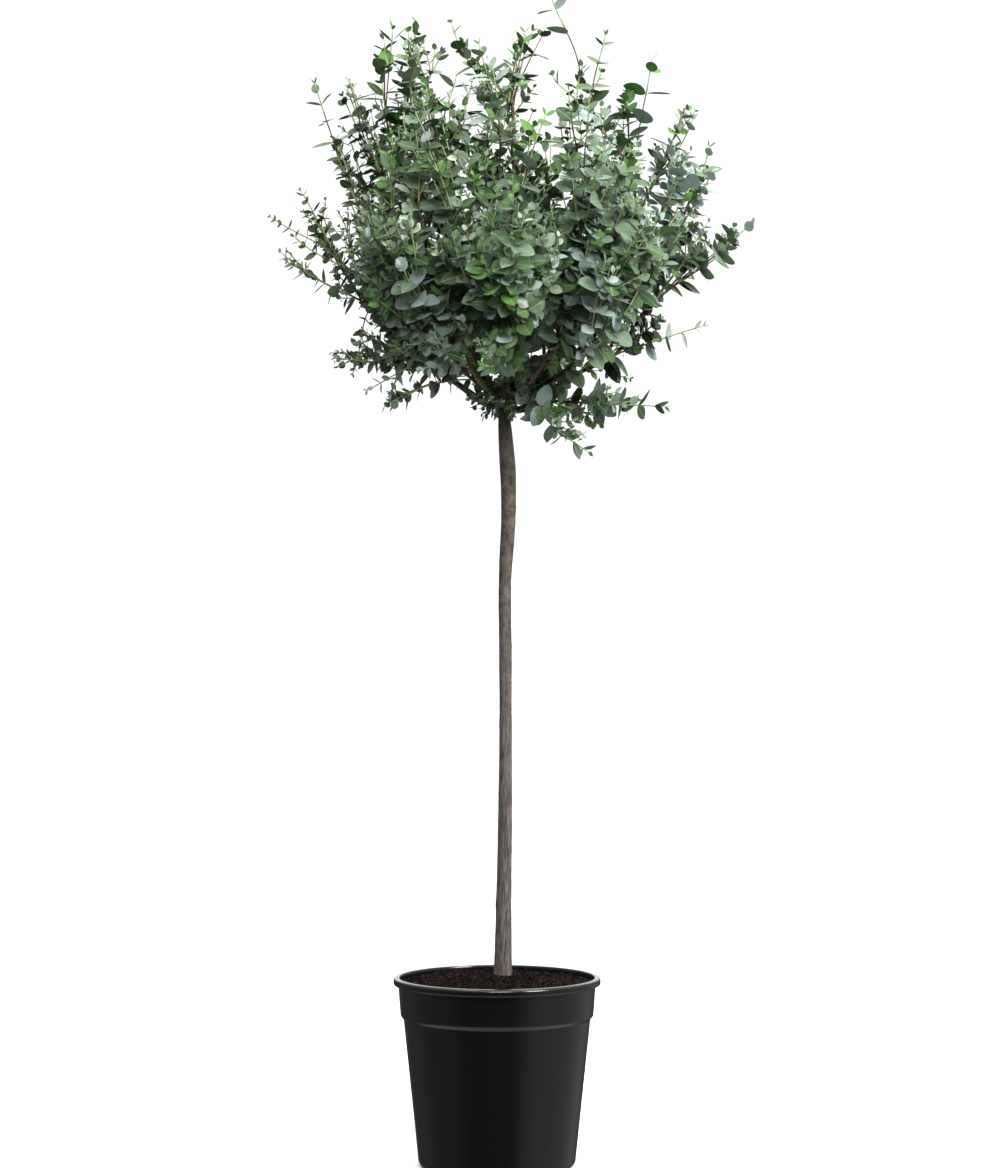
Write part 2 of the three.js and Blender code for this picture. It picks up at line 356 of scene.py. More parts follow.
def gum_leaf(name, colour, bloom):
    """A waxy juvenile gum leaf: one plain green under a thin dull bloom, uneven in its shine."""
    material, surface = new_material(
        name,
        {
            "Base Color": linear(colour),
            "IOR": 1.45,
            "Specular IOR Level": 0.4,
            "Sheen Weight": bloom,
            "Sheen Roughness": 0.6,
        },
    )
    place = add_node(material, "ShaderNodeTexCoord", {})
    wax_patch = 9 * MM
    wax = add_node(
        material,
        "ShaderNodeTexNoise",
        {"Scale": 1 / wax_patch, "Detail": 3.0},
        [("Vector", place, "Object")],
    )
    dullness = add_node(
        material,
        "ShaderNodeMapRange",
        {"From Min": 0.3, "From Max": 0.7, "To Min": 0.4, "To Max": 0.62},
        [("Value", wax, "Fac")],
    )
    link(material, dullness, "Result", surface, "Roughness")
    return material


# The leaf colours, each with the strength of its white bloom.
LEAF_COLOURS = {
    "glaucous": ("92a6a0", 0.2),
    "silver_tip": ("a7b5a2", 0.2),
    "grey_green": ("62795f", 0.12),
    "mid_green": ("4a693a", 0.06),
    "deep_green": ("2f4d27", 0.04),
    # Fresh growth at shoot tips; at the upper right also painted light shining through the leaves
    "fresh_green": ("54833a", 0.03),
    # Painted shade: a dark slate green dealt out underneath the head in place of its shade
    "slate": ("526256", 0.08),
}


# ------------------------------------------------------------------------------------------------
# Measures


def unit(vector):
    """The same direction, one unit long."""
    return vector / np.linalg.norm(vector)


def share_of(value, start, full):
    """How far a value is from a start, 0, to where it takes full effect, 1."""
    return min(max((value - start) / (full - start), 0), 1)


def in_head(place, head):
    """How far right of the head's middle, behind it and above it a place lies, in head radii."""
    return (place - head) / HEAD_RADIUS


# ------------------------------------------------------------------------------------------------
# Joining shapes into pieces


def join(parts):
    """Several (corners, faces) as one, with the faces renumbered."""
    corners = []
    faces = []
    base = 0
    for part_corners, part_faces in parts:
        corners.append(np.asarray(part_corners))
        faces.extend([tuple(base + i for i in face) for face in part_faces])
        base += len(part_corners)
    return np.concatenate(corners), faces


def piece_from(name, corners, faces, material, slot, replaced=(), smooth=True):
    """A finished piece that rides on the plant's body."""
    mesh = bpy.data.meshes.new(name)
    mesh.from_pydata(corners.tolist(), [], faces)
    mesh.validate()
    piece = bpy.data.objects.new(name, mesh)
    bpy.context.scene.collection.objects.link(piece)
    mesh.polygons.foreach_set("use_smooth", [smooth] * len(mesh.polygons))
    return finished(piece, material, replaced)


def finished(piece, material, replaced=()):
    """Gives a piece its material and the plant's body, and hides the CAD nodes it stands for."""
    piece.data.materials.clear()
    piece.data.materials.append(material)
    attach(piece, "root")
    if replaced:
        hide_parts(*replaced)
    return piece


# ------------------------------------------------------------------------------------------------
# The pot and the compost


def turned_piece(name, rings, sides):
    """A disc's face extruded and scaled from ring to ring; each ring is a radius and a height."""
    radius, height = rings[0]
    bpy.ops.object.select_all(action="DESELECT")
    bpy.ops.mesh.primitive_circle_add(
        vertices=sides, radius=radius, fill_type="NGON", location=(0, 0, height)
    )
    piece = bpy.context.object
    piece.name = name
    bpy.ops.object.transform_apply(location=True, rotation=False, scale=False)
    bpy.ops.object.mode_set(mode="EDIT")
    bpy.ops.mesh.select_mode(type="FACE")
    bpy.ops.mesh.select_all(action="SELECT")
    for next_radius, next_height in rings[1:]:
        bpy.ops.mesh.extrude_region_move(
            TRANSFORM_OT_translate={"value": (0, 0, next_height - height)}
        )
        growth = next_radius / radius
        bpy.ops.transform.resize(
            value=(growth, growth, 1), center_override=(0, 0, next_height)
        )
        radius, height = next_radius, next_height
    bpy.ops.mesh.select_all(action="SELECT")
    bpy.ops.mesh.normals_make_consistent(inside=False)
    bpy.ops.object.mode_set(mode="OBJECT")
    return piece


def arc(centre_radius, centre_height, bend, start, end, count):
    """Ring sizes round a quarter or half turn of the profile; the angles are in degrees."""
    angles = np.radians(np.linspace(start, end, count))
    return [
        (centre_radius + bend * math.cos(a), centre_height + bend * math.sin(a)) for a in angles
    ]


def make_pot():
    """A tapered pot whose wall steps out to a collar and rolls over in a thick lip."""
    wall = 2.4 * MM
    floor = 4 * MM
    foot = 113.5 * MM
    foot_bend = 10 * MM
    body_top = 134.5 * MM
    collar_foot = 139 * MM
    collar_foot_height = POT_HEIGHT - 54 * MM
    step = 7 * MM
    body_height = collar_foot_height - step
    collar_top = 142 * MM
    lip_foot = POT_HEIGHT - 11 * MM
    lip_bend = 3.2 * MM
    lip_crown = 5 * MM
    rings = [(foot - foot_bend, 0.0)]
    rings += arc(foot - foot_bend, foot_bend, foot_bend, -75, -5, 7)
    for share in (0.03, 0.35, 0.7, 0.98):
        height = foot_bend + share * (body_height - foot_bend)
        rings.append((foot + share * (body_top - foot), height))
    # The step out to the collar: a hollow bend, a slope and a round one
    step_out = [(0, 0), (0.3, 1.2), (1.1, 2.4), (2.6, 4.0), (3.8, 5.6), (4.4, 7.4), (4.6, 9.5)]
    rings += [(body_top + out * MM, body_height + up * MM) for out, up in step_out]
    # The hollow bend from the collar out to the lip
    bend_to_lip = [(-0.1, -2.5), (0.4, -0.8), (1.6, 0)]
    rings += [(collar_top + out * MM, lip_foot + up * MM) for out, up in bend_to_lip]
    rings += arc(RIM_RADIUS - lip_bend, lip_foot + lip_bend, lip_bend, -80, 0, 6)
    rings += arc(RIM_RADIUS - lip_crown, POT_HEIGHT - lip_crown, lip_crown, 5, 90, 10)
    # Over the lip and down the inside to the floor
    rings += [
        (collar_top + 0.2 * MM, POT_HEIGHT),
        (collar_top - 1.2 * MM, POT_HEIGHT - 0.5 * MM),
        (collar_top - 2.1 * MM, POT_HEIGHT - 1.8 * MM),
        (collar_top - wall, POT_HEIGHT - 4 * MM),
        (collar_foot - wall, collar_foot_height + 2 * MM),
        (body_top - wall, body_height + 2 * MM),
        (foot - wall, foot_bend),
        (foot - foot_bend, floor),
    ]
    pot = turned_piece("nursery_pot", rings, 160)
    bpy.ops.object.shade_smooth_by_angle(angle=math.radians(34))
    finished(pot, moulded_polypropylene(), ["pot"])


def compost_height(radius):
    """The mound's height at a distance from the middle: level by the wall, rising to the stem."""
    edge_drop = 8 * MM
    flat = 38 * MM
    share = share_of(radius, flat, COMPOST_EDGE)
    return COMPOST_TOP - edge_drop * share ** 1.3


def make_compost(material):
    """The bed: a low mound turned in one piece, its top then made uneven."""
    bottom = POT_HEIGHT - 50 * MM
    edge = COMPOST_EDGE
    ring_step = 3.5 * MM
    rings = [(edge - 2.5 * MM, bottom), (edge - 0.5 * MM, compost_height(edge) - 2 * MM)]
    rings += [(r, compost_height(r)) for r in np.arange(edge, ring_step, -ring_step)]
    compost = turned_piece("compost_bed", rings, 120)
    lumps = bpy.data.textures.new("compost_lumps", "CLOUDS")
    lumps.noise_scale = 11 * MM
    lumps.noise_depth = 4
    top = compost.vertex_groups.new(name="top")
    skirt = 6 * MM
    inside = [v.index for v in compost.data.vertices if v.co.z > compost_height(edge) - 1 * MM]
    inside = [i for i in inside if compost.data.vertices[i].co.xy.length < edge - skirt]
    top.add(inside, 1.0, "REPLACE")
    uneven = compost.modifiers.new("uneven", "DISPLACE")
    uneven.texture = lumps
    uneven.texture_coords = "LOCAL"
    uneven.vertex_group = "top"
    uneven.direction = "Z"
    uneven.mid_level = 0.55
    uneven.strength = 9 * MM
    bpy.context.view_layer.objects.active = compost
    bpy.ops.object.modifier_apply(modifier="uneven")
    bpy.ops.object.shade_smooth_by_angle(angle=math.radians(60))
    return finished(compost, material, ["compost"])


# How many loose lumps lie on the bed.
CRUMBS = 2200
BARK_CHIPS = 260


def nugget():
    """The corners and faces of a rough lump, one unit in radius."""
    lump = bmesh.new()
    bmesh.ops.create_icosphere(lump, subdivisions=1, radius=1)
    corners = np.array([v.co[:] for v in lump.verts])
    faces = [tuple(v.index for v in f.verts) for f in lump.faces]
    lump.free()
    return corners, faces


def random_turn(rng):
    """A random rotation matrix."""
    q = np.array([rng.gauss(0, 1) for _ in range(4)])
    w, x, y, z = q / np.linalg.norm(q)
    return np.array(
        [
            [1 - 2 * (y * y + z * z), 2 * (x * y - z * w), 2 * (x * z + y * w)],
            [2 * (x * y + z * w), 1 - 2 * (x * x + z * z), 2 * (y * z - x * w)],
            [2 * (x * z - y * w), 2 * (y * z + x * w), 1 - 2 * (x * x + y * y)],
        ]
    )


def scatter_on_compost(rng, count, draw_size):
    """Lumps of drawn sizes lying on the compost, clear of the wall, as joined corners and faces."""
    depsgraph = bpy.context.evaluated_depsgraph_get()
    bed = BVHTree.FromObject(bpy.data.objects["compost_bed"], depsgraph)
    corners, faces = nugget()
    reach = COMPOST_EDGE - 7 * MM
    parts = []
    while len(parts) < count:
        radius = reach * rng.random() ** 0.5
        angle = rng.uniform(0, 2 * math.pi)
        above = Vector((radius * math.cos(angle), radius * math.sin(angle), POT_HEIGHT + 50 * MM))
        hit = bed.ray_cast(above, Vector((0, 0, -1)))[0]
        if hit is None:
            continue
        size = draw_size()
        rough = corners * np.array([[rng.uniform(0.7, 1.2)] for _ in corners])
        placed = (rough * size) @ random_turn(rng).T + np.array(hit[:])
        parts.append((placed, faces))
    return join(parts)


def make_crumbs(material):
    """Loose crumbs of compost, and flat splinters of composted bark."""
    rng = random.Random(31)

    def crumb_size():
        shape = np.array([1, rng.uniform(0.6, 1), rng.uniform(0.5, 0.9)])
        return shape * rng.uniform(0.8, 2.8) * MM

    def chip_size():
        return np.array([rng.uniform(3, 8), rng.uniform(1.2, 3), rng.uniform(0.4, 0.9)]) * MM

    crumbs = scatter_on_compost(rng, CRUMBS, crumb_size)
    piece_from("compost_crumbs", *crumbs, material, "compost", ["compost"], smooth=False)
    chips = scatter_on_compost(rng, BARK_CHIPS, chip_size)
    bark_chip = twig_bark("composted_bark_chips", "130c09", "301d16", 0.95)
    piece_from("bark_chips", *chips, bark_chip, "compost", ["compost"], smooth=False)


# ------------------------------------------------------------------------------------------------
# Limbs: paths are rows of x, y, z and radius


def section(node, point, normal):
    """The centre and mean radius of a CAD limb where a plane cuts it, as one row of a path."""
    shape = bmesh.new()
    shape.from_mesh(frame["nodes"][node].data)
    bmesh.ops.remove_doubles(shape, verts=shape.verts, dist=0.01 * MM)
    everything = shape.verts[:] + shape.edges[:] + shape.faces[:]
    cut = bmesh.ops.bisect_plane(
        shape, geom=everything, dist=1e-7, plane_co=Vector(point), plane_no=Vector(normal)
    )
    rim = np.array([part.co[:] for part in cut["geom_cut"] if isinstance(part, bmesh.types.BMVert)])
    shape.free()
    centre = rim.mean(axis=0)
    return np.append(centre, np.linalg.norm(rim - centre, axis=1).mean())


def resampled(path, step):
    """The same path with its rows evenly spaced."""
    lengths = np.linalg.norm(np.diff(path[:, :3], axis=0), axis=1)
    travel = np.concatenate(([0], np.cumsum(lengths)))
    even = np.linspace(0, travel[-1], max(2, round(travel[-1] / step) + 1))
    return np.column_stack([np.interp(even, travel, column) for column in path.T])


def relaxed(path, rounds):
    """The same path with its corners rounded off; its ends stay."""
    for _ in range(rounds):
        path[1:-1] = (path[:-2] + 2 * path[1:-1] + path[2:]) / 4
    return path


def tube(path, sides, relief=None):
    """A closed tube along a path; relief(angle, length, radius) is added to its radius."""
    centres = path[:, :3]
    tangents = np.gradient(centres, axis=0)
    tangents /= np.linalg.norm(tangents, axis=1)[:, None]
    side = np.array([0.0, 1.0, 0.0]) if abs(tangents[0][1]) < 0.9 else np.array([1.0, 0.0, 0.0])
    across = unit(np.cross(side, tangents[0]))
    angles = np.linspace(0, 2 * math.pi, sides, endpoint=False)
    travel = 0.0
    rings = []
    for i, (centre, tangent, radius) in enumerate(zip(centres, tangents, path[:, 3])):
        across = unit(across - tangent * (across @ tangent))
        beside = np.cross(tangent, across)
        if i:
            travel += np.linalg.norm(centre - centres[i - 1])
        spread = np.full(sides, radius)
        if relief:
            spread = spread + [relief(a, travel, radius) for a in angles]
        around = np.outer(np.cos(angles), across) + np.outer(np.sin(angles), beside)
        rings.append(centre + spread[:, None] * around)
    faces = []
    for i in range(len(rings) - 1):
        for j in range(sides):
            k = (j + 1) % sides
            faces.append((i * sides + j, i * sides + k, (i + 1) * sides + k, (i + 1) * sides + j))
    last = (len(rings) - 1) * sides
    faces.append(tuple(reversed(range(sides))))
    faces.append(tuple(last + j for j in range(sides)))
    return np.concatenate(rings), faces


def trunk_path():
    """The stem's path, from its flat foot to the fork."""
    heights = np.linspace(TRUNK_LOW.z + 1 * MM, TRUNK_HIGH.z - 1 * MM, 26)
    rows = [section("trunk", (0, 0, height), (0, 0, 1)) for height in heights]
    foot = rows[0].copy()
    foot[2] = TRUNK_LOW.z
    path = np.array([foot] + rows)
    path[:, 3] *= 1.04  # a faceted section's mean radius is less than the round stem's
    return path


def bough_path(node, fork):
    """A CAD bough's path, from inside the stem's head to where it enters its mass."""
    corners = np.array([v.co[:] for v in frame["nodes"][node].data.vertices])
    distances = np.linalg.norm(corners - fork, axis=1)
    foot = corners[distances.argmin()]
    run = corners[distances.argmax()] - foot
    shares = np.linspace(0.08, 0.94, 8)
    rows = np.array([section(node, foot + share * run, unit(run)) for share in shares])
    root = rows[0].copy()
    root[:3] = fork + (rows[0][:3] - fork) * 0.15
    root[3] *= 1.25
    return np.vstack([root, rows])


def stem_relief(rng):
    """Upright stringy ridges with a few swollen scars where side shoots were rubbed off."""
    fibre_width = 2.0 * MM
    fibre_length = 26 * MM
    swelling = 60 * MM
    scars = 15
    # Each scar's bearing, its place as a share of the stem's length, and its height in mm
    knots = [
        (rng.uniform(0, 2 * math.pi), rng.uniform(0.04, 0.97), rng.uniform(0.5, 1.3))
        for _ in range(scars)
    ]
    stem_length = TRUNK_HIGH.z - TRUNK_LOW.z

    def relief(angle, length, radius):
        x = math.cos(angle) * radius
        y = math.sin(angle) * radius
        grain = Vector((x / fibre_width, y / fibre_width, length / fibre_length))
        fibres = noise.noise(grain)
        shreds = noise.noise(Vector((2 * grain.x, 2 * grain.y, 3 * grain.z + 9)))
        swell = noise.noise(Vector((x / swelling, y / swelling, length / swelling + 5)))
        height = (0.3 * fibres + 0.14 * shreds + 0.5 * swell) * MM
        for knot_angle, share, size in knots:
            off = math.remainder(angle - knot_angle, 2 * math.pi) * radius / (4.5 * MM)
            up = (length - share * stem_length) / (6.5 * MM)
            distance = off * off + up * up
            if distance < 9:
                height += size * MM * (math.exp(-distance) - 0.75 * math.exp(-5 * distance))
        return height

    return relief


def bough_relief(angle, length, radius):
    """Faint long ridges, in keeping with the limb's thickness."""
    grain = 3 * MM
    x = math.cos(angle) * radius / grain
    y = math.sin(angle) * radius / grain
    return 0.09 * radius * noise.noise(Vector((x, y, length / (4 * grain))))


# ------------------------------------------------------------------------------------------------
# Growth: limbs and shoots are chains of nodes, and every chain leaves a node of an earlier one


class Growth:
    """The woody frame, grown chain by chain towards places in the foliage masses."""

    ROOM = 60000

    def __init__(self):
        self.place = np.zeros((self.ROOM, 3))
        self.heading = np.zeros((self.ROOM, 3))
        self.travel = np.zeros(self.ROOM)  # along the limbs from the fork
        self.fertile = np.zeros(self.ROOM, bool)  # a new chain may start here
        self.parent = np.full(self.ROOM, -1)
        self.least = np.zeros(self.ROOM)  # a CAD bough is never thinner than it was drawn
        self.count = 0
        self.bough_nodes = 0  # the first nodes are the boughs'
        self.chains = []

    def add_chain(self, path, parent, fertile_until, kind):
        """Adds a path's rows as nodes on top of a parent node (-1 for the fork)."""
        chain = [] if parent < 0 else [parent]
        start = 0 if parent < 0 else 1
        headings = np.gradient(path[:, :3], axis=0)
        for i in range(start, len(path)):
            n = self.count
            self.place[n] = path[i, :3]
            self.heading[n] = unit(headings[i])
            before = chain[-1] if chain else -1
            self.parent[n] = before
            if before >= 0:
                step = np.linalg.norm(self.place[n] - self.place[before])
                self.travel[n] = self.travel[before] + step
            self.fertile[n] = i / (len(path) - 1) <= fertile_until
            self.least[n] = path[i, 3]
            chain.append(n)
            self.count += 1
        self.chains.append((kind, chain))
        return chain

    def best_start(self, target, outwards, shortest):
        """The fertile node that a shoot reaches a target from with the least length and turning,
        and the most nearly along the way that shoots point there."""
        n = self.count
        away = target - self.place[:n]
        distance = np.maximum(np.linalg.norm(away, axis=1), 1e-6)
        turning = 1 - (away * self.heading[:n]).sum(axis=1) / distance
        straying = 1 - (away @ outwards) / distance
        cost = distance * (1 + 0.6 * turning + 3.0 * straying) + 0.1 * self.travel[:n]
        cost[~self.fertile[:n]] = np.inf
        cost[distance < shortest] = np.inf
        return int(cost.argmin())

    def radii(self, finest):
        """Radii by the pipe rule: a limb's section carries those of all the shoots beyond it."""
        tips = np.zeros(self.count)
        for _, chain in self.chains:
            tips[chain[-1]] += 1
        for n in range(self.count - 1, -1, -1):
            if self.parent[n] >= 0:
                tips[self.parent[n]] += tips[n]
        thickening = 0.275
        grown = finest * np.maximum(tips, 1) ** thickening
        return np.maximum(grown, self.least[: self.count])


def curve_to(start, heading, target, outwards, wander, rng):
    """A shoot's path: it leaves between its parent's heading and its own, and ends outwards."""
    run = target - start
    length = np.linalg.norm(run)
    aim = unit(run)
    leave = unit(0.4 * heading + 0.6 * aim)
    arrive = unit(aim + 0.8 * outwards)
    first = start + leave * length * 0.36
    second = target - arrive * length * 0.34
    steps = max(5, round(length / (11 * MM)))
    t = np.linspace(0, 1, steps + 1)[:, None]
    u = 1 - t
    points = u ** 3 * start + 3 * u ** 2 * t * first + 3 * u * t ** 2 * second + t ** 3 * target
    sway = np.array([rng.uniform(-1, 1) for _ in range(3)]) * wander * length
    points += sway * np.sin(math.pi * t) + 0.4 * sway[[1, 2, 0]] * np.sin(2 * math.pi * t)
    return np.column_stack([points, np.zeros(len(points))])


class Mass:
    """A CAD foliage mass, as the room that its sprays have to fill."""

    def __init__(self, name, head):
        self.name = name
        shape = bmesh.new()
        shape.from_mesh(frame["nodes"][name].data)
        bmesh.ops.remove_doubles(shape, verts=shape.verts, dist=0.01 * MM)
        self.volume = abs(shape.calc_volume())
        self.tree = BVHTree.FromBMesh(shape)
        corners = np.array([v.co[:] for v in shape.verts])
        shape.free()
        low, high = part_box(name)
        self.centre = (np.array(low[:]) + np.array(high[:])) / 2
        self.outwards = unit(self.centre - head)
        outer = corners[(corners - self.centre) @ self.outwards > 0]
        self.tip = outer[np.linalg.norm(outer - self.centre, axis=1).argmax()]

    def reach(self, direction):
        """How far the mass's surface is from its middle that way."""
        hit = self.tree.ray_cast(Vector(self.centre), Vector(direction))
        return 0.0 if hit[0] is None else hit[3]

    def target(self, rng, nearest, furthest):
        """A place in the mass, more often on its outer side than on its inner one."""
        while True:
            direction = unit(np.array([rng.gauss(0, 1) for _ in range(3)]))
            if rng.random() < 0.5 + 0.5 * (direction @ self.outwards):
                reach = self.reach(direction)
                if reach > 0:
                    return self.centre + direction * reach * rng.uniform(nearest, furthest)


# Long shoots and short side twigs for each litre of a mass, and the fewest in a small one; then
# the twigs between each two masses, in the head's middle and round the fork.
SHOOTS_PER_LITRE = 12
TWIGS_PER_LITRE = 18
LEAST_IN_MASS = 3
TWIGS_IN_SEAM = 8
TWIGS_IN_MIDDLE = 140
TWIGS_AT_FORK = 115
NEIGHBOURS = 215 * MM


def fullness_at(place, head):
    """The share of the shoots that grow here: the head thins out upwards, most on the right and at
    its crest, under its belly, which slants up to the right, and at its left edge."""
    right, _, height = in_head(place, head)
    thin_top = share_of(height, -0.05, 0.35) * min(max(0.82 + 0.5 * right, 0.58), 0.87)
    thin_crest = 0.6 * share_of(height, 0.45, 0.65) * share_of(right, -0.2, -0.05)
    belly = -0.62 + 0.5 * max(right, 0)
    thin_belly = 0.94 * share_of(-height, -belly, -belly + 0.1)
    thin_left = 0.5 * share_of(-right, 0.68, 0.8) * share_of(-height, -0.1, 0.1)
    return (1 - thin_top) * (1 - thin_crest) * (1 - thin_belly) * (1 - thin_left)


def spray_fullness_at(place, head):
    """The share of a spray's shoots that grow: at the crest little more than its one long stem."""
    height = in_head(place, head)[2]
    return 1 - 0.7 * share_of(height, 0.4, 0.65)


def ball_place(rng):
    """A place inside a ball of one unit's radius."""
    return unit(np.array([rng.gauss(0, 1) for _ in range(3)])) * rng.random() ** (1 / 3)


def seam_places(masses, rng):
    """Places between neighbouring masses, so that the head has no gaps along their seams."""
    places = []
    for i, mass in enumerate(masses):
        for other in masses[i + 1 :]:
            if np.linalg.norm(mass.centre - other.centre) < NEIGHBOURS:
                for _ in range(TWIGS_IN_SEAM):
                    places.append((mass.target(rng, 0.4, 1.0) + other.target(rng, 0.4, 1.0)) / 2)
    return places


def outwards_at(place, fork):
    """The way shoots point at a place: fanned from the fork low down, and from below it higher up,
    so that the upper ones stand nearly upright; those lowest on the left hang from the skirt."""
    spread = 150 * MM
    fan_depth = 230 * MM
    height = place[2] - fork[2] - 60 * MM
    hub = fork - fan_depth * min(max(height / spread, 0), 1) * UP
    low = share_of(place[2] - fork[2], 65 * MM, 45 * MM)
    left = share_of(fork[0] - place[0], 90 * MM, 130 * MM)
    hanging = 2.5 * low * left * np.array([-0.4, 0.0, -0.9])
    return unit(unit(place - hub) + hanging)


def grow_head(growth, masses, head, fork, rng):
    """Limbs to the middles of the masses, then long shoots to their outsides and to the sprays'
    tips, then side twigs between the shoots and round the fork."""

    def grow(target, kind, shortest, fertile_until):
        jitter = np.array([rng.gauss(0, 0.12) for _ in range(3)])
        outwards = unit(outwards_at(target, fork) + jitter)
        start = growth.best_start(target, outwards, shortest)
        path = curve_to(growth.place[start], growth.heading[start], target, outwards, 0.03, rng)
        growth.add_chain(path, start, fertile_until, kind)

    def from_fork(place):
        return np.linalg.norm(place - fork)

    def grow_all(targets, kind, shortest, fertile_until):
        for target in sorted(targets, key=from_fork):
            grow(target, kind, shortest, fertile_until)

    def thinned(targets, fullness=fullness_at):
        return [place for place in targets if rng.random() < fullness(place, head)]

    def places_in(some, nearest, per_litre):
        return [
            mass.target(rng, nearest, 1.0)
            for mass in some
            for _ in range(max(round(per_litre * mass.volume / LITRE), LEAST_IN_MASS))
        ]

    big = [mass for mass in masses if mass.name not in SPRAYS]
    sprays = [mass for mass in masses if mass.name in SPRAYS]
    middles = [mass.centre - mass.outwards * 15 * MM for mass in big]
    grow_all(middles, "limb", 30 * MM, 1.0)
    inner = [mass.target(rng, 0.3, 0.6) for mass in big for _ in range(4)]
    grow_all(inner, "branch", 45 * MM, 1.0)
    tips = [mass.tip for mass in sprays]
    shoots = thinned(places_in(big, 0.72, SHOOTS_PER_LITRE))
    shoots += thinned(places_in(sprays, 0.6, SHOOTS_PER_LITRE), spray_fullness_at)
    grow_all(tips + shoots, "shoot", 120 * MM, 0.6)
    heart = np.array([95, 95, 190]) * MM
    middle = [head + heart * ball_place(rng) for _ in range(TWIGS_IN_MIDDLE)]
    twigs = thinned(places_in(big, 0.4, TWIGS_PER_LITRE) + middle + seam_places(big, rng))
    twigs += thinned(places_in(sprays, 0.3, TWIGS_PER_LITRE), spray_fullness_at)
    grow_all(twigs, "twig", 32 * MM, 0.0)
    growth.fertile[: growth.bough_nodes] = True
    tuft_middle = fork + np.array([0, -20, 18]) * MM
    tuft = np.array([60, 56, 44]) * MM
    at_fork = [tuft_middle + tuft * ball_place(rng) for _ in range(TWIGS_AT_FORK)]
    grow_all(at_fork, "twig", 20 * MM, 0.0)


# ------------------------------------------------------------------------------------------------
# Leaves: a blade of a few faces folded along its midrib, and the midrib between its halves

STATIONS = np.array([0.0, 0.1, 0.28, 0.5, 0.72, 0.9, 1.0])


def leaf_outline(breadth, fullness, belly):
    """Half-widths at the stations, as shares of the leaf's length."""
    return breadth / 2 * np.sin(math.pi * STATIONS ** belly) ** fullness


# Breadth over length, how full the ends are, and how near the base the widest part lies.
LEAF_SHAPES = {
    "round": leaf_outline(0.8, 0.62, 0.86),
    "ovate": leaf_outline(0.66, 0.74, 0.82),
    "pointed": leaf_outline(0.54, 0.9, 0.88),
}


def leaf_corners(half_widths, fold, curl):
    """Corner rows for each station: left edge, left and right of the midrib, right edge."""
    rib = 0.011  # half the midrib's width, as a share of the leaf's length
    rows = []
    for x, half in zip(STATIONS, half_widths):
        sag = -curl * x * x
        inner = min(rib, max(half, rib * 0.5))
        edge = max(half, inner)
        lift = fold * edge
        rise = sag + lift
        rows.append([(x, edge, rise), (x, inner, sag), (x, -inner, sag), (x, -edge, rise)])
    return np.array(rows).reshape(-1, 3)


def leaf_faces(columns):
    """Faces between neighbouring stations, for the columns of the corner rows given."""
    faces = []
    for i in range(len(STATIONS) - 1):
        for left, right in columns:
            faces.append((4 * i + left, 4 * (i + 1) + left, 4 * (i + 1) + right, 4 * i + right))
    return faces


BLADE_FACES = np.array(leaf_faces([(0, 1), (2, 3)]))
RIB_FACES = np.array(leaf_faces([(1, 2)]))


class LeafPile:
    """Leaves of one colour, gathered before they are joined."""

    def __init__(self):
        self.corners = []

    def add(self, base, along, normal, length, shape, fold, curl):
        """Adds a leaf that grows from its base along one way and faces another."""
        across = np.cross(normal, along)
        turn = np.array([along, across, normal])
        self.corners.append(base + (leaf_corners(LEAF_SHAPES[shape], fold, curl) * length) @ turn)

    def joined(self, faces):
        """Corners and faces of every leaf here; only the faces' own corners are kept."""
        used = np.unique(faces)
        renumbered = np.searchsorted(used, faces)
        corners = np.array(self.corners)[:, used]
        offsets = np.arange(len(corners)) * len(used)
        all_faces = renumbered[None] + offsets[:, None, None]
        return corners.reshape(-1, 3), all_faces.reshape(-1, faces.shape[1]).tolist()


def colour_of(place, head, rng):
    """Which green a spray is: bluer on the right, partly the leaves' own bloom and partly painted
    light where the key light falls; deeper at the upper left; darker in the middle of the face and
    dark underneath, as painted shade; paler at the lower left, as painted light; and fresh green at
    the upper right, as painted light shining through the leaves."""
    right, _, height = in_head(place, head)
    # Painted shade: darker greens near the middle of the face stand in for shade in the head's
    # heart
    depth = max(1 - math.hypot(right + 0.05, height - 0.2) / 0.5, 0)
    # Painted light: paler greens at the lower left make up for the shade the foliage casts there
    low_left = share_of(-right, 0.15, 0.45) * share_of(-height, 0.0, 0.25)
    chances = {
        # Glaucous is the leaves' own colour; more of it to the right is also painted light
        "glaucous": 0.22 + 0.50 * right - 0.3 * depth + 0.55 * low_left,
        "grey_green": 0.80 - 0.30 * abs(height) - 0.6 * depth + 0.5 * low_left,
        "mid_green": 0.36 + 0.12 * height + 0.2 * depth,
        "deep_green": 0.28 + 0.50 * height - 0.35 * right + 1.3 * depth - 0.3 * low_left,
        # Painted light: fresh green at the upper right stands in for light shining through leaves
        "fresh_green": 0.10 * right + 0.10 * height,
        # Painted shade: dark slate green underneath stands in for the shade below the head
        "slate": 0.1 - 0.5 * height - 0.1 * right,
    }
    names = list(chances)
    return rng.choices(names, [max(chances[name], 0.01) for name in names])[0]


# The greens that single leaves of a spray turn to.
NEXT_GREENS = {
    "glaucous": ("grey_green", "silver_tip"),
    "silver_tip": ("glaucous", "grey_green"),
    "grey_green": ("glaucous", "mid_green"),
    "mid_green": ("grey_green", "deep_green"),
    "deep_green": ("mid_green", "grey_green"),
    "fresh_green": ("mid_green", "grey_green"),
    "slate": ("deep_green", "grey_green"),
}


def shape_of(place, head, rng):
    """Which outline a shoot's leaves have: pointed ones at the upper left, round ones elsewhere."""
    right, _, height = in_head(place, head)
    chances = [0.15, 0.4, 0.45] if height - right > 0.4 else [0.55, 0.37, 0.08]
    return rng.choices(["round", "ovate", "pointed"], chances)[0]


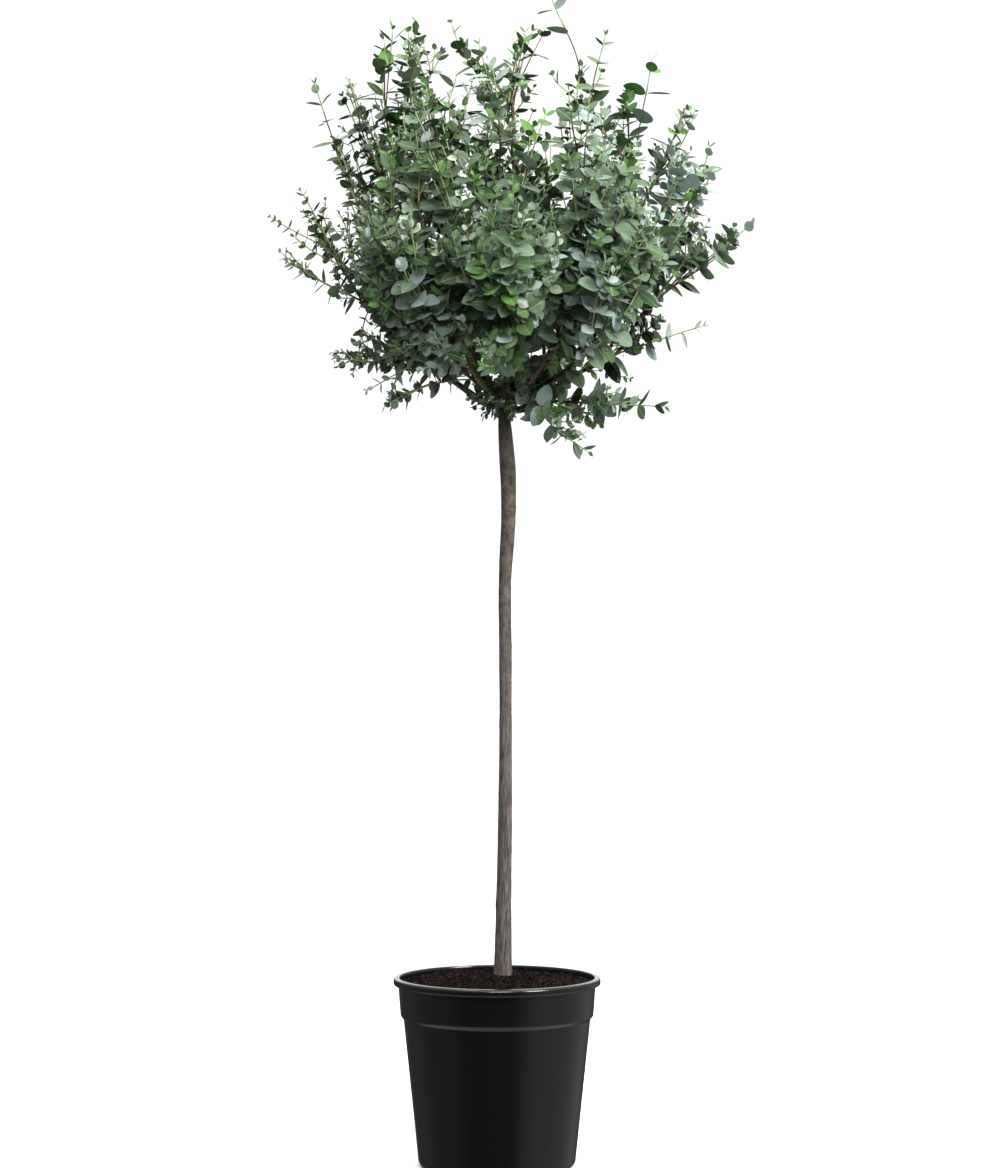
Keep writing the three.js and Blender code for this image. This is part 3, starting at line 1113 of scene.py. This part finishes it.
# The shares of leaves that have dropped, and that differ in colour from their spray.
MISSING_LEAVES = 0.06
ODD_GREENS = 0.22

# How much of a chain's foot is bare, and its largest leaf's least and greatest length in mm.
DRESS = {
    "branch": (0.1, 20, 30),
    "shoot": (0.12, 27, 42),
    "twig": (0.1, 18, 32),
}


def dress_shoot(points, radii, head, piles, rng, kind):
    """Pairs of stalkless leaves, each pair square to the last, shrinking to a rosette at the
    tip."""
    bare, least, greatest = DRESS[kind]
    lengths = np.linalg.norm(np.diff(points, axis=0), axis=1)
    travel = np.concatenate(([0], np.cumsum(lengths)))
    whole = travel[-1]
    colour = colour_of(points[-1], head, rng)
    shape = shape_of(points[-1], head, rng)
    right, _, height = in_head(points[-1], head)
    # Leaves are larger and further apart near the top, and smaller at the left edge and lower left
    low_left = min(share_of(-height, 0.45, 0.75), share_of(-right, -0.3, 0.0))
    poorer = max(share_of(-right, 0.6, 0.8), low_left)
    vigour = 1 + 0.2 * share_of(height, 0.2, 0.6) - 0.32 * poorer
    largest = rng.uniform(least, greatest) * vigour * MM
    gap = 0.85 + 0.3 * share_of(height, 0, 1)
    growing_tip = rng.random()
    roll = rng.uniform(0, math.pi)
    from_tip = 2 * MM
    pair = 0
    while from_tip < whole * (1 - bare):
        at = whole - from_tip
        i = min(max(int(np.searchsorted(travel, at)) - 1, 0), len(points) - 2)
        share = (at - travel[i]) / max(lengths[i], 1e-9)
        base = points[i] + share * (points[i + 1] - points[i])
        axis = unit(points[i + 1] - points[i])
        youngest = 0.26
        size = largest * (youngest + (1 - youngest) * (1 - math.exp(-from_tip / (30 * MM))))
        this_colour = colour
        # Some shoots end in fresh growth, and some in silvery growth
        if pair < 3 and growing_tip < 0.12:
            this_colour = "fresh_green"
        elif pair < 2 and growing_tip < 0.26:
            this_colour = "silver_tip"
        joint = base, axis, radii[i]
        place_pair(joint, roll, size, shape, this_colour, from_tip, head, piles, rng)
        roll += math.pi / 2 + rng.uniform(-0.25, 0.25)
        from_tip += (gap * size + 3 * MM) * rng.uniform(0.85, 1.15)
        pair += 1


def place_pair(joint, roll, size, shape, colour, from_tip, head, piles, rng):
    """Two leaves across a shoot; they close up near its tip, and turn a little to the outside.
    The joint is the shoot's middle, its heading and its radius there."""
    base, axis, stem_radius = joint
    side = np.array([0.0, 1.0, 0.0]) if abs(axis[1]) < 0.9 else np.array([1.0, 0.0, 0.0])
    first = unit(np.cross(axis, side))
    second = np.cross(axis, first)
    outside = unit(base - head)
    open_angle = math.radians(30 + 48 * (1 - math.exp(-from_tip / (35 * MM))))
    for turn in (0, math.pi):
        if rng.random() < MISSING_LEAVES:
            continue
        angle = roll + turn + rng.uniform(-0.2, 0.2)
        radial = math.cos(angle) * first + math.sin(angle) * second
        opening = open_angle + rng.uniform(-0.25, 0.25)
        along = math.cos(opening) * axis + math.sin(opening) * radial
        along = unit(along - 0.1 * UP + 0.1 * np.array([rng.gauss(0, 1) for _ in range(3)]))
        normal = math.sin(opening) * axis - math.cos(opening) * radial + 0.55 * outside + 0.15 * UP
        normal = normal + 0.25 * np.array([rng.gauss(0, 1) for _ in range(3)])
        normal = unit(normal - along * (normal @ along))
        length = size * rng.uniform(0.82, 1.12)
        fold = rng.uniform(0.0, 0.22)
        curl = rng.uniform(-0.05, 0.18)
        start = base + radial * stem_radius * 0.7
        leaf_colour = rng.choice(NEXT_GREENS[colour]) if rng.random() < ODD_GREENS else colour
        piles[leaf_colour].add(start, along, normal, length, shape, fold, curl)


# ------------------------------------------------------------------------------------------------
# The plant


def green_length(tip, head):
    """How far down from its tip a shoot is still green; it browns sooner high up in the sun."""
    height = in_head(tip, head)[2]
    longest = 140 * MM
    lost = 95 * MM
    return longest - lost * share_of(height, 0.1, 0.5)


def make_plant():
    """The stem and the boughs along the CAD limbs, then all that grows on from them."""
    rng = random.Random(20)
    stem = relaxed(resampled(trunk_path(), 2 * MM), 40)
    fork = stem[-1][:3] - 8 * MM * UP
    trunk_parts = tube(stem, 96, stem_relief(random.Random(4)))
    bark = stem_bark()
    piece_from("stem_with_bark", *trunk_parts, bark, "bark", ["trunk"])

    boxes = [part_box(name) for name in MASSES if name not in SPRAYS]
    head_low = np.min([low for low, _ in boxes], axis=0)
    head_high = np.max([high for _, high in boxes], axis=0)
    head = (head_low + head_high) / 2
    masses = [Mass(name, head) for name in MASSES]

    growth = Growth()
    # A short stub inside the stem's head, which the boughs start from
    knuckle = np.array([[*fork, 4 * MM], [*(fork + 4 * MM * UP), 4 * MM]])
    growth.add_chain(knuckle, -1, 0.0, "bough")
    for name in BOUGHS:
        path = relaxed(resampled(bough_path(name, fork), 9 * MM), 2)
        chain = growth.add_chain(path, 0, 1.0, "bough")
        growth.fertile[chain[: len(chain) // 3]] = False
    growth.bough_nodes = growth.count
    grow_head(growth, masses, head, fork, rng)

    finest_shoot = 0.95 * MM
    radii = growth.radii(finest_shoot)
    boughs = []
    woody = []
    green = []
    piles = {colour: LeafPile() for colour in LEAF_COLOURS}
    green_radius = 1.6 * MM
    for kind, chain in growth.chains:
        points = growth.place[chain]
        sizes = radii[chain].copy()
        sizes[0] = sizes[min(1, len(sizes) - 1)]
        if kind == "bough":
            rows = resampled(np.column_stack([points, sizes]), 3 * MM)
            boughs.append(tube(relaxed(rows, 3), 18, bough_relief))
            continue
        sizes[-1] *= 0.5
        rows = np.column_stack([points, sizes])
        to_tip = np.linalg.norm(points - points[-1], axis=1)
        wooden = (sizes > green_radius) | (to_tip > green_length(points[-1], head))
        last_wooden = int(np.nonzero(wooden)[0].max()) if wooden.any() else 0
        if last_wooden > 0:
            woody.append(tube(rows[: last_wooden + 1], 7))
        if last_wooden < len(rows) - 1:
            green.append(tube(rows[last_wooden:], 5))
        if kind in DRESS:
            dress_shoot(points, sizes, head, piles, rng, kind)

    young_bark = twig_bark("brown_young_bark", "41362a", "7a6a56", 0.75)
    red_bark = twig_bark("maroon_twig_bark", "3b2a20", "6b5140", 0.6)
    green_bark = twig_bark("green_shoot_skin", "7c8a58", "a9b382", 0.5)
    piece_from("boughs_with_bark", *join(boughs), young_bark, "young_bark", BOUGHS)
    piece_from("woody_twigs", *join(woody), red_bark, "young_bark", MASSES)
    piece_from("green_shoots", *join(green), green_bark, "leaf", MASSES)
    for colour, pile in piles.items():
        leaf = gum_leaf(f"{colour}_gum_leaf", *LEAF_COLOURS[colour])
        piece_from(f"leaves_{colour}", *pile.joined(BLADE_FACES), leaf, "leaf", MASSES)
    ribs = LeafPile()
    for pile in piles.values():
        ribs.corners.extend(pile.corners)
    rib = gum_leaf("pale_midrib", "8b9a72", 0.05)
    piece_from("leaf_midribs", *ribs.joined(RIB_FACES), rib, "leaf", MASSES)


# ------------------------------------------------------------------------------------------------
# Floor, light and camera


def make_stage():
    """The studio's plain pale floor."""
    bpy.ops.object.select_all(action="DESELECT")
    bpy.ops.mesh.primitive_plane_add(size=120, location=(0, 0, 0))
    floor = bpy.context.object
    floor.name = "studio_floor"
    # Matt white paper; the room's own floor panel lights the plant from below in its place
    paper, _ = new_material(
        "white_paper",
        {"Base Color": linear("f7f7f6"), "Roughness": 0.95, "Specular IOR Level": 0.1},
    )
    floor.data.materials.append(paper)
    floor.visible_diffuse = False
    floor.visible_glossy = False


def add_softbox(name, place, aim, size, power):
    """A square lamp that lights the plant and isn't seen itself; its power is in watts."""
    light = bpy.data.lights.new(name, "AREA")
    light.shape = "RECTANGLE"
    light.size, light.size_y = size
    light.energy = power
    lamp = bpy.data.objects.new(name, light)
    lamp.location = place
    lamp.visible_camera = False
    lamp.rotation_euler = (Vector(aim) - Vector(place)).to_track_quat("-Z", "Y").to_euler()
    bpy.context.scene.collection.objects.link(lamp)


def make_light():
    """A white backdrop for the camera, round a room that is bright overhead, has a soft panel at
    each side, the right one brighter, and is dark in front."""
    scene = bpy.context.scene
    world = bpy.data.worlds.new("pale_studio")
    world.use_nodes = True
    scene.world = world
    scene.view_settings.view_transform = "Standard"
    direction = add_node(world, "ShaderNodeTexCoord", {})
    # Where a panel's middle lies, how near to it the panel starts and is full, and its strength
    panels = [
        ((1.0, 0.0, -0.1), 0.3, 0.85, 0.45),  # right
        ((-1.0, 0.0, 0.0), 0.5, 0.95, 0.12),  # left
        ((0.0, 0.87, 0.5), 0.84, 0.93, 1.5),  # behind, above the horizon
        ((0.0, 0.0, -1.0), 0.5, 0.85, 0.75),  # floor
        ((0.0, 0.0, 1.0), 0.1, 1.0, 1.1),  # ceiling
        ((0.0, 0.0, 1.0), 0.86, 0.96, 4.0),  # overhead
    ]
    total = None
    for middle, start, full, strength in panels:
        nearness = add_node(
            world,
            "ShaderNodeVectorMath",
            {"operation": "DOT_PRODUCT"},
            [("Vector", direction, "Generated")],
        )
        nearness.inputs[1].default_value = middle
        glow = add_node(
            world,
            "ShaderNodeMapRange",
            {
                "interpolation_type": "SMOOTHSTEP",
                "From Min": start,
                "From Max": full,
                "To Min": 0.0 if total else 0.08,
                "To Max": strength,
            },
            [("Value", nearness, "Value")],
        )
        if total:
            added = add_node(world, "ShaderNodeMath", {"operation": "ADD"})
            world.node_tree.links.new(total.outputs[0], added.inputs[0])
            world.node_tree.links.new(glow.outputs[0], added.inputs[1])
            glow = added
        total = glow
    room = add_node(world, "ShaderNodeBackground", {}, [("Strength", total, 0)])
    backdrop = world.node_tree.nodes["Background"]
    backdrop.inputs["Color"].default_value = (1.0, 1.0, 1.0, 1.0)
    backdrop.inputs["Strength"].default_value = 1.1
    room.inputs["Color"].default_value = (1.0, 1.0, 1.0, 1.0)
    ray = add_node(world, "ShaderNodeLightPath", {})
    seen = add_node(world, "ShaderNodeMixShader", {}, [("Fac", ray, "Is Camera Ray")])
    world.node_tree.links.new(room.outputs[0], seen.inputs[1])
    world.node_tree.links.new(backdrop.outputs[0], seen.inputs[2])
    output = world.node_tree.nodes["World Output"]
    world.node_tree.links.new(seen.outputs[0], output.inputs["Surface"])
    add_softbox("key_softbox", (3.0, -2.6, 3.4), (0.05, 0, 1.3), (1.6, 1.6), 230)
    add_softbox("front_softbox", (0.3, -4.2, 3.5), (0.05, 0, 1.3), (2.0, 1.2), 130)


def make_camera():
    """Looks level with the foot of the head from in front, so the rim is seen from just above."""
    distance = 5.6
    eye_height = 0.97
    frame_height = 1.6766  # of the upright frame, at the plant's distance
    middle = Vector((0.0043, 0.0, 0.8375))
    camera = bpy.data.objects.new("camera", bpy.data.cameras.new("camera"))
    camera.location = (middle.x, -distance, eye_height)
    camera.rotation_euler = (middle - camera.location).to_track_quat("-Z", "Y").to_euler()
    camera.data.lens = camera.data.sensor_width * distance / frame_height
    bpy.context.scene.collection.objects.link(camera)
    bpy.context.scene.camera = camera


make_pot()
compost_material = potting_compost()
make_compost(compost_material)
make_crumbs(compost_material)
make_plant()
make_stage()
make_light()
make_camera()
